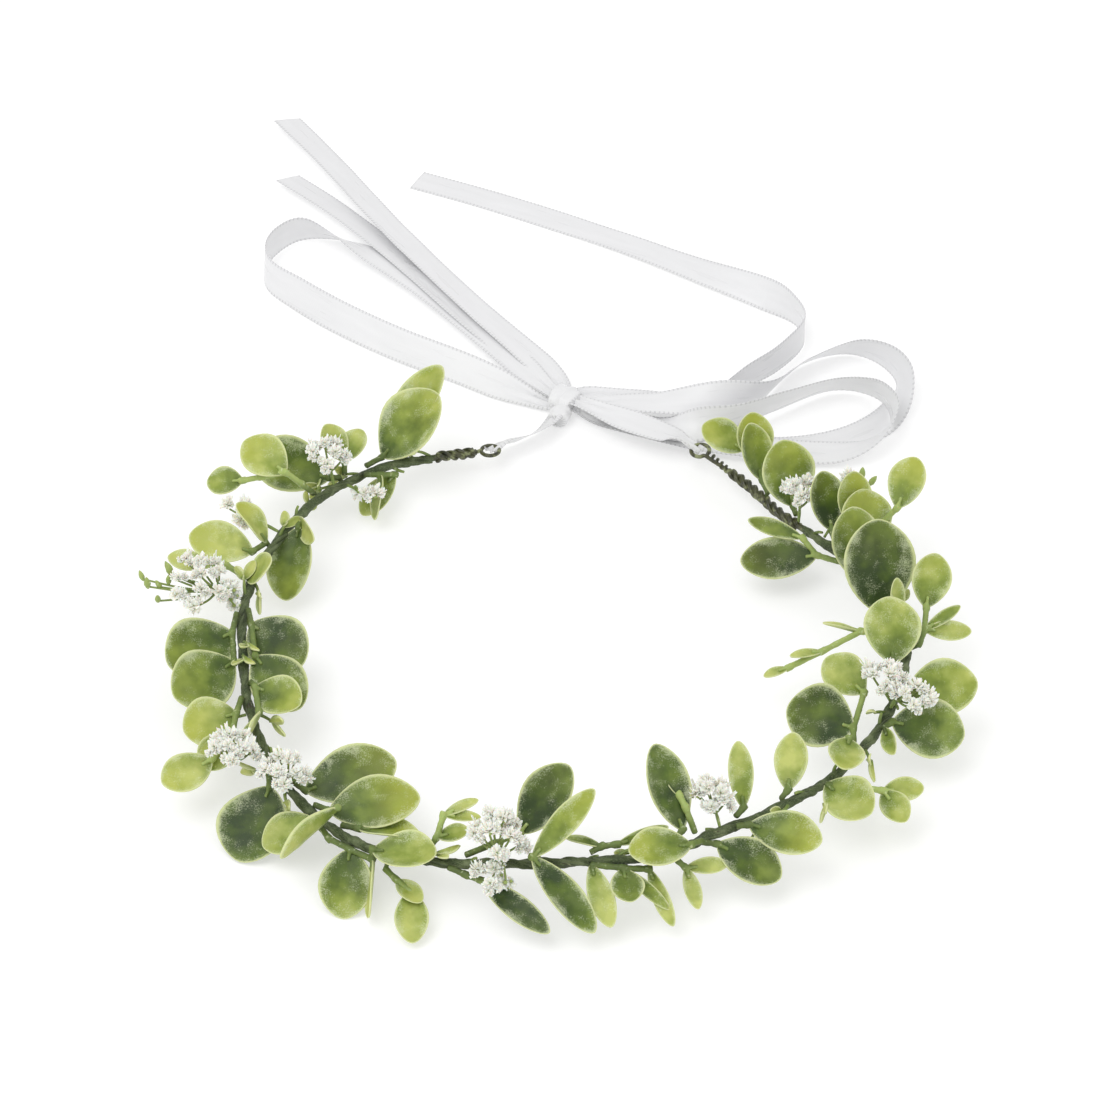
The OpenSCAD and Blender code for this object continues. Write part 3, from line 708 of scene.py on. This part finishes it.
# The moulded blade is a little fuller than its plain plate and reaches back over its petiole.
BLADE_LONGER, BLADE_WIDER, BLADE_BACK = 1.05, 1.14, 2.0 * MM
RINGS = [0.0, 0.14, 0.32, 0.5, 0.66, 0.79, 0.89, 0.96, 1.0]
ROUND = 36


def blade(length, width, cup, curl, wave, seed):
    """One blade in its own frame, +X towards the tip: vertices, faces and places.
    Spoon-shaped: a wedge at the petiole, broadest past the middle, round at the tip."""
    def half_width(t):
        return width / 2 * math.sin(math.pi * min(max(t, 0.0), 1.0) ** 1.16) ** 0.56

    def height(x, y, r):
        t = x / length
        share = min(1.0, abs(y) / (width / 2))
        z = cup * width * share ** 2 + curl * length * t * t
        z += wave * width * math.sin(5.2 * t + seed) * share * (1 if y > 0 else -1)
        z -= 0.22 * MM * math.exp(-(y / (0.55 * MM)) ** 2) * (1 - 0.8 * t)
        return z + 0.16 * MM * max(0.0, (r - 0.82) / 0.18) ** 2

    top, places = [], []
    for r in RINGS:
        for k in range(ROUND):
            a = 2 * math.pi * k / ROUND
            t = (1 - math.cos(a)) / 2
            edge_x = length * t
            edge_y = math.copysign(half_width(t), math.sin(a)) if 0 < k != ROUND // 2 else 0.0
            mid_x = length * min(max(t, 0.07), 0.90)
            x, y = mid_x + r * (edge_x - mid_x), r * edge_y
            top.append((x, y, height(x, y, r)))
            places.append((x / length, y / (width / 2), r))
    rings = len(RINGS)
    thick = BLADE_THICK * 0.8
    under = [(x, y, z - thick * (1 - 0.25 * r) - 0.2 * MM * math.exp(-(y / (0.4 * MM)) ** 2) * (1 - t))
             for (x, y, z), (t, _, r) in zip(top, places)]
    lip = []
    for k in range(ROUND):
        x, y, z = top[(rings - 1) * ROUND + k]
        x0, y0, _ = top[(rings - 2) * ROUND + k]
        out = Vector((x - x0, y - y0, 0)).normalized() * 0.16 * MM
        lip.append((x + out.x, y + out.y, z - thick * 0.38))
    verts = top + under + lip
    all_places = places + places + [(p[0], p[1], 1.0) for p in places[-ROUND:]]
    faces = []
    for i in range(rings - 1):
        for k in range(ROUND):
            n = (k + 1) % ROUND
            a, b = i * ROUND + k, i * ROUND + n
            faces.append((a, b, b + ROUND, a + ROUND))
            shift = rings * ROUND
            faces.append((a + shift, a + ROUND + shift, b + ROUND + shift, b + shift))
    edge, below, rim = (rings - 1) * ROUND, (2 * rings - 1) * ROUND, 2 * rings * ROUND
    for k in range(ROUND):
        n = (k + 1) % ROUND
        faces.append((edge + k, edge + n, rim + n, rim + k))
        faces.append((rim + k, rim + n, below + n, below + k))
    return verts, faces, all_places


def make_leaves(sprig):
    """The sprig's moulded blades, each where its plain plate sits."""
    shapes = Gathered()
    for (base, lead, normal, length, width), (tone, yellow) in zip(leaf_frames(sprig), LEAF_TONES[sprig]):
        verts, faces, places = blade(length * BLADE_LONGER + BLADE_BACK, width * BLADE_WIDER,
                                     rng.uniform(0.06, 0.17), rng.uniform(-0.06, 0.07),
                                     rng.uniform(0.0, 0.035), rng.uniform(0, 6.28))
        shapes.add(placed(verts, lead, normal, base - lead * BLADE_BACK), faces,
                   leaf_place=places, leaf_look=(tone, yellow, rng.random()))
    settle(shapes.make(sprig + "_foliage", LEAF, weld=0.004 * MM), sprig + "_leaves")


def make_stems(sprig):
    """The sprig's rods, melted into one smooth moulded stem with fine bumps."""
    source = NODES[sprig + "_stems"]
    piece = add_object(sprig + "_stalks", source.data.copy())
    # a stem that starts beside the tape gets a bent root that runs on to the wire
    start = min((np.array(v.co) for v in source.data.vertices), key=from_core)
    if from_core(start) > TAPE_R * 0.6:
        foot = np.array(CORE_TREE.find(start)[0])
        inner = start + unit(start - foot) * 0.7 * MM
        sag = (foot + inner) / 2 + [0, 0, -0.3 * MM]
        verts, faces = tube([foot, sag, inner], np.array([0.7, 0.6, 0.6]) * MM, 8)
        work = bmesh.new()
        work.from_mesh(piece.data)
        made = [work.verts.new(v) for v in verts]
        for face in faces:
            work.faces.new([made[i] for i in face])
        work.to_mesh(piece.data)
        work.free()
    modify(piece, "REMESH", mode="VOXEL", voxel_size=0.28 * MM)
    modify(piece, "SMOOTH", factor=0.6, iterations=3)
    depsgraph = bpy.context.evaluated_depsgraph_get()
    mesh = bpy.data.meshes.new_from_object(piece.evaluated_get(depsgraph))
    piece.modifiers.clear()
    piece.data = mesh
    moved, reach = [], []
    for at, normal in [(vert.co.copy(), vert.normal.copy()) for vert in mesh.vertices]:
        lump = noise.noise(at * 600) * 0.10 * MM + noise.noise(at * 1700) * 0.05 * MM
        moved.extend(at + normal * (lump + 0.06 * MM))
        reach.append((min(1.0, max(0.0, (from_core(at) - 1.5 * MM) / (9 * MM))), 0, 0))
    mesh.vertices.foreach_set("co", moved)
    store(mesh, "stem_reach", reach)
    mesh.materials.clear()
    mesh.materials.append(STEM)
    mesh.shade_smooth()
    settle(piece, sprig + "_stems")


for sprig_name in LEAF_TONES:
    make_leaves(sprig_name)
    make_stems(sprig_name)


# ---------------------------------------------------------------- what stands out of the tape
def crowded():
    """The sprigs and flowers as one tree, so that what is added between them stays clear."""
    verts, faces = [], []
    for name, obj in NODES.items():
        if name.endswith(("_leaves", "_spray", "_stems")):
            first = len(verts)
            verts += [v.co.copy() for v in obj.data.vertices]
            faces += [[first + i for i in face.vertices] for face in obj.data.polygons]
    return BVHTree.FromPolygons(verts, faces)


SHOOTS_SEED = 11
CLEAR_OF_JOINTS = 9 * MM   # the tape stays bare this near a sprig that bends


def make_shoots():
    """Cut stem ends and young leaves that stand out of the tape, where the sprigs are bound in."""
    draw = random.Random(SHOOTS_SEED)
    others = crowded()
    pivots = [np.array(joint["pos_m"]) for joint in frame["record"]["behaviour"]["joints"]]
    points, run = even_steps(CORE, 1.0 * MM)
    ahead, side, up = frames_along(points)

    def is_clear(start, tip, room):
        """Nothing is in the way from start to tip, or nearer than room beyond the tip."""
        way = Vector(tip - start)
        if others.ray_cast(Vector(start), way.normalized(), way.length + room)[0] is not None:
            return False
        return others.find_nearest(Vector(tip))[3] > room and tip[2] > 1.5 * MM

    ends, leaves = Gathered(), Gathered()
    at = LEFT_BARE + 5 * MM
    while at < run[-1] - RIGHT_BARE - 5 * MM:
        i = int(at / MM)
        at += draw.uniform(4, 8) * MM
        turn = draw.uniform(-0.6, 3.7)
        out = math.cos(turn) * side[i] + math.sin(turn) * up[i]
        way = ahead[i] * draw.choice((-1, 1))
        foot = points[i] + out * 0.7 * MM
        leafy = draw.random() < 0.55
        length = (draw.uniform(3.5, 6.0) if leafy else draw.uniform(2.0, 4.2)) * MM
        tip = foot + length * (0.75 * way + draw.uniform(0.3, 0.75) * out)
        lean, seed = draw.uniform(-0.5, 0.5), draw.random()
        near_joint = min(norm(points[i] - p) for p in pivots) < CLEAR_OF_JOINTS
        if near_joint or not is_clear(foot, tip, 1.0 * MM):
            continue
        bend = (foot + tip) / 2 + out * 0.3 * MM
        verts, faces = tube(catmull([foot, bend, tip], 4), np.linspace(0.52, 0.36, 9) * MM, 8)
        ends.add(verts, faces, stem_reach=[(0.15 + 0.5 * k / len(verts), 0, 0) for k in range(len(verts))])
        if not leafy:
            continue
        heading = unit(tip - bend)
        across = unit(np.cross(heading, out))
        for hand in (-1, 1):
            size = draw.uniform(4.2, 6.2) * MM
            lead = unit(heading + hand * draw.uniform(0.45, 0.8) * across)
            if not is_clear(tip, tip + lead * size, 0.7 * MM):
                continue
            facing = np.cross(lead, across) * -hand + lean * across
            facing = unit(facing - lead * (facing @ lead))
            verts, faces, places = blade(size, size * draw.uniform(0.4, 0.52), 0.12, 0.05, 0.02, seed * 6)
            leaves.add(placed(verts, lead, facing, tip), faces, leaf_place=places,
                       leaf_look=(0.72 + 0.25 * seed, 0.3 * seed, seed))
    for shapes, name, material, slot in ((ends, "bound_stem_ends", STEM, "stem"),
                                         (leaves, "young_leaves", LEAF, "leaf")):
        piece = shapes.make(name, material)
        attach(piece, "crown")


make_shoots()


# ---------------------------------------------------------------- flowers
BUDS_BEYOND = 20 * MM      # florets this far from the wire are still closed buds
SEAT_AREA = 8 * MM * MM    # a smaller flat face is a twig's end, not a floret's
CLUSTER_REACH = 8.5 * MM   # florets nearer than this to each other share a twig's fork
PETAL_THICK = 0.09 * MM


def floret_seats(spray):
    """Middle and facing of each floret: each ten-sided disc's outer face gives a circle of known radius."""
    seats = []
    for normal, _, area, corners in flat_faces(spray):
        if area < SEAT_AREA:
            continue
        best = (0, None)
        for i in range(len(corners)):
            for j in range(i + 1, len(corners)):
                half = (corners[j] - corners[i]) / 2
                reach = norm(half)
                if not 0.5 * MM < reach < FLORET_R:
                    continue
                rise = math.sqrt(FLORET_R ** 2 - reach ** 2)
                aside = np.cross(normal, half / reach)
                for sign in (1, -1):
                    middle = corners[i] + half + sign * rise * aside
                    hits = (np.abs(norm(corners - middle, axis=1) - FLORET_R) < 0.01 * MM).sum()
                    if hits > best[0]:
                        best = (hits, middle)
        if best[0] >= 4:
            seats.append((best[1], normal))
    # a disc has two faces: keep the outer one, which is further from the ring
    kept = []
    for middle, normal in sorted(seats, key=lambda s: -from_core(s[0] + s[1] * MM)):
        if all(norm(middle - m) > FLORET_DEEP + 0.05 * MM for m, _ in kept):
            kept.append((middle, normal))
    return kept


def petal(out, wide, lift, ruffle, seed):
    """A small petal with a notched, ruffled edge, growing along +X from the throat."""
    rows, columns = 5, 5
    verts, places = [], []
    for i in range(rows):
        t = i / (rows - 1)
        for k in range(columns):
            v = 2 * k / (columns - 1) - 1
            half = wide * (0.25 + 0.75 * math.sin(math.pi / 2 * t) ** 0.8) / 2
            notch = 0.14 * out * (1 - abs(v)) * t ** 3
            x = out * t * (1 - 0.10 * v * v) - notch
            z = lift * out * t ** 1.6 - 0.10 * wide * v * v + ruffle * out * t * math.sin(3.3 * v + seed)
            verts.append((x, half * v, z))
            places.append((t, v, seed / 6.3))
    faces = [(i * columns + k, i * columns + k + 1, (i + 1) * columns + k + 1, (i + 1) * columns + k)
             for i in range(rows - 1) for k in range(columns - 1)]
    return verts, faces, places


def floret(shapes, middle, facing, size):
    """Adds a double floret, four whorls of petals with the inner ones steeper, and returns the
    small green cup under it."""
    facing = unit(facing)
    side = unit(np.cross(facing, [0.3, 0.9, 0.2]))
    other = np.cross(facing, side)
    for count, out, wide, lift, up in ((6, 1.0, 0.66, 0.05, 0.0), (5, 0.85, 0.58, 0.5, 0.12),
                                       (5, 0.65, 0.48, 1.0, 0.2), (3, 0.42, 0.36, 1.9, 0.26)):
        first = rng.uniform(0, 6.28)
        for k in range(count):
            a = first + 2 * math.pi * k / count + rng.uniform(-0.35, 0.35)
            lead = math.cos(a) * side + math.sin(a) * other
            verts, faces, places = petal(out * size * rng.uniform(0.75, 1.15), wide * size,
                                         lift * rng.uniform(0.3, 1.7), 0.22, rng.uniform(0, 6.28))
            raised = np.asarray(verts) + [0.05 * size, 0, up * size]
            shapes.add(placed(raised, lead, facing, middle), faces, petal_place=places)
    cup = [middle - facing * size * d for d in (0.55, 0.35, 0.12)]
    cup_radii = [0.12 * size, 0.26 * size, 0.2 * size]
    return tube(np.array(cup) + np.array([1e-6, 0, 0]), cup_radii, 8)


def bud(middle, facing, size):
    """A closed green bud, pointed at its tip."""
    line = [middle + facing * size * t for t in (-0.6, -0.4, -0.1, 0.25, 0.55, 0.75)]
    return tube(np.array(line) + [1e-6, 0, 0], np.array([0.1, 0.22, 0.32, 0.28, 0.16, 0.03]) * size, 8)


def make_spray(spray):
    """Florets on thin twigs that gather at the tape."""
    clusters = []
    for middle, facing in floret_seats(spray):
        for cluster in clusters:
            if min(norm(middle - m) for m, _ in cluster) < CLUSTER_REACH:
                cluster.append((middle, facing))
                break
        else:
            clusters.append([(middle, facing)])
    petals, twigs = Gathered(), Gathered()
    for cluster in clusters:
        centre = np.mean([m for m, _ in cluster], axis=0)
        root = CORE[((CORE - centre) ** 2).sum(1).argmin()]
        out = unit(centre - root)
        fork = root + out * max(TAPE_R, norm(centre - root) * 0.45)
        for middle, facing in cluster:
            size = FLORET_R * rng.uniform(0.7, 0.95)
            if from_core(middle) > BUDS_BEYOND:
                cup = bud(middle, facing, size * 1.3)
                twigs.add(*cup, stem_reach=(0.9, 0, 0))
            else:
                # one full floret with two smaller ones crowded against it
                for share, beside in ((1.0, 0.0), (0.74, 1.7 * MM), (0.66, 1.8 * MM)):
                    aside = np.array([rng.uniform(-1, 1) for _ in range(3)])
                    aside -= facing * (aside @ facing)
                    at = middle + unit(aside) * beside - facing * beside * 0.35
                    cup = floret(petals, at, facing + aside * 0.4, size * share)
                    twigs.add(*cup, stem_reach=(0.9, 0, 0))
            below = middle - facing * size * 0.5
            bend = (fork + below) / 2 + facing * -0.8 * MM
            line = catmull([root + out * 1.2 * MM, fork, bend, below], 5)
            twigs.add(*tube(line, np.linspace(0.42, 0.26, len(line)) * MM, 6), stem_reach=(0.55, 0, 0))
    heads = petals.make(spray + "_florets", FLOWER)
    modify(heads, "SOLIDIFY", thickness=PETAL_THICK, offset=0)
    settle(heads, spray)
    stalks = twigs.make(spray + "_twigs", STEM)
    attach(stalks, BODY_OF[spray])


for spray_name in sorted(n for n in NODES if n.endswith("_spray")):
    make_spray(spray_name)


# ---------------------------------------------------------------- ribbons
def eased(value, low, high):
    share = min(1.0, max(0.0, (value - low) / (high - low)))
    return share * share * (3 - 2 * share)


def drawn_in(route):
    """The route with its ends led on into the knot or the wire eye they belong to."""
    points = [np.array(p, float) * [MM, MM, MM, 1] for p in route]
    for end in (0, -1):
        at = points[end]
        goal = min(DRAWN_TO, key=lambda g: norm((g - at[:3])[:2]))
        if norm((goal - at[:3])[:2]) < 15 * MM:
            extra = [np.array([*(at[:3] * 0.35 + goal * 0.65), at[3] * 0.5]), np.array([*goal, 0.0])]
            points = extra[::-1] + points if end == 0 else points + extra
    return np.array(points)


def ribbon_band(route, width, seed):
    """A satin band along its route: slightly cupped, softly rippled, with looped picot edges.
    It is gathered into pleats where it runs into the knot or a wire eye."""
    smooth = catmull(drawn_in(route), 14)
    points, run = even_steps(smooth, PICOT_PITCH / 4)
    ahead, side, up = frames_along(points[:, :3])
    lean = np.radians(points[:, 3])[:, None]
    wide = np.cos(lean) * side + np.sin(lean) * up
    thin = np.cross(ahead, wide)
    half = [0.17, 0.33, 0.5, 0.66, 0.82, 0.94, 1.0]
    columns = [-v for v in half[::-1]] + [0.0] + half
    verts, places = [], []
    for face in (1, -1):
        for i, s in enumerate(run):
            picot = 0.5 + 0.5 * math.cos(2 * math.pi * s / PICOT_PITCH)
            ripple = 0.18 * MM * noise.noise(Vector((s * 55, seed, 0.0)))
            knot_gap = norm(points[i, :3] - DRAWN_TO[0])
            eye_gap = min(norm(points[i, :3] - eye) for eye in DRAWN_TO[1:])
            narrow = 0.5 + 0.5 * eased(knot_gap, 3 * MM, 24 * MM)
            narrow *= 0.4 + 0.6 * eased(eye_gap, 1 * MM, 11 * MM)
            pleat = PLEAT_DEEP * max(1 - eased(knot_gap, 4 * MM, 20 * MM),
                                     1 - eased(eye_gap, 2 * MM, 11 * MM))
            for v in columns:
                outermost = abs(v) == 1.0
                reach = v * (0.975 + 0.03 * picot) if outermost else v
                rise = 0.10 * MM * (1 - v * v) + ripple * v + pleat * math.sin(PLEATS * math.pi * v + seed)
                thick = RIBBON_THICK / 2 * (0.55 + 0.45 * picot if abs(v) > 0.9 else 1.0)
                if outermost:
                    thick *= 0.5
                verts.append(points[i, :3] + wide[i] * width / 2 * reach * narrow
                             + thin[i] * (rise + face * thick))
                places.append((s, v, picot))
    n, m = len(run), len(columns)
    faces = []
    for i in range(n - 1):
        for k in range(m - 1):
            a = i * m + k
            faces.append((a, a + 1, a + m + 1, a + m))
            b = a + n * m
            faces.append((b, b + m, b + m + 1, b + 1))
        for k in (0, m - 1):
            a, b = i * m + k, i * m + k + n * m
            faces.append((a, a + m, b + m, b) if k == 0 else (a, b, b + m, a + m))
    for i in (0, n - 1):
        for k in range(m - 1):
            a, b = i * m + k, i * m + k + n * m
            faces.append((a, b, b + 1, a + 1) if i == 0 else (a, a + 1, b + 1, b))
    return verts, faces, places, run[-1]


def make_ribbon(name, route, seed):
    verts, faces, places, length = ribbon_band(route, RIBBON_W, seed)
    piece = add_piece(name + "_satin", verts, faces, SATIN, {"ribbon_place": places})
    settle(piece, name)


for number, (run_name, (run_held, run_route)) in enumerate(RIBBON_RUNS.items()):
    make_ribbon(run_name, run_route, 1.7 * number)


def knot_wrap(shapes, middle, axis, radii, width, pleats, seed):
    """A short band of ribbon wound tight round the bundle: a pleated barrel, drawn in at both ends."""
    axis = unit(np.asarray(axis, float))
    across = unit(np.cross([0, 0, 1.0], axis))
    up = np.cross(axis, across)
    around, rows = 56, 21
    verts, places = [], []
    for i in range(rows):
        v = 2 * i / (rows - 1) - 1
        for k in range(around):
            u = 2 * math.pi * k / around
            fold = 0.055 * math.sin(pleats * math.pi * v + 1.3 * math.sin(u + seed))
            crush = 0.07 * noise.noise(Vector((2.2 * math.cos(u), 2.2 * math.sin(u), 1.6 * v + seed)))
            draw = (1 - 0.18 * v * v) * (1.0 if abs(v) < 0.86 else 1 - 3.4 * (abs(v) - 0.86))
            r = draw * (1 + fold + crush)
            verts.append(np.asarray(middle) + axis * width / 2 * v * (1 - 0.08 * math.cos(2 * u))
                         + across * radii[0] * r * math.cos(u) + up * radii[1] * r * math.sin(u))
            places.append((u * radii[0], v, 0.5))
    shapes.add(verts, barrel_faces(rows, around), ribbon_place=places)


def make_knot():
    """The bow's knot: a broad wrap over the bow and a smaller one over the ties."""
    low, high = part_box("bow_knot")
    middle = np.array((low + high) / 2)
    shapes = Gathered()
    knot_wrap(shapes, middle + np.array([-0.5, 0.4, 0.2]) * MM, (0.80, -0.60, 0),
              (4.7 * MM, 3.0 * MM), 8.4 * MM, 2.5, 0.4)
    knot_wrap(shapes, middle + np.array([-2.0, -6.2, -0.6]) * MM, (0.25, 0.97, 0),
              (3.1 * MM, 2.5 * MM), 7.0 * MM, 2.0, 2.1)
    settle(shapes.make("bow_knot_wraps", SATIN), "bow_knot")


make_knot()


# ---------------------------------------------------------------- stage and light
FLOOR_SIDE = 6.0


def make_floor():
    half = FLOOR_SIDE / 2
    floor = add_piece("floor", [(-half, -half, 0), (half, -half, 0), (half, half, 0), (-half, half, 0)],
                      [(0, 1, 2, 3)], floor_material())


def soft_light(name, place, size, power):
    data = bpy.data.lights.new(name, "AREA")
    data.shape = "DISK"
    data.size = size
    data.energy = power
    light = add_object(name, data)
    light.location = place
    light.rotation_euler = (AIM - Vector(place)).to_track_quat("-Z", "Y").to_euler()


def make_light():
    world = bpy.data.worlds.new("studio")
    world.use_nodes = True
    world.node_tree.nodes["Background"].inputs[0].default_value = (1, 1, 1, 1)
    world.node_tree.nodes["Background"].inputs[1].default_value = 0.86
    bpy.context.scene.world = world
    soft_light("key", (-0.45, -0.3, 1.1), 0.9, 5.0)
    soft_light("fill", (0.9, -0.6, 0.7), 1.0, 1.6)
    bpy.context.scene.view_settings.view_transform = "Standard"


make_floor()
make_light()
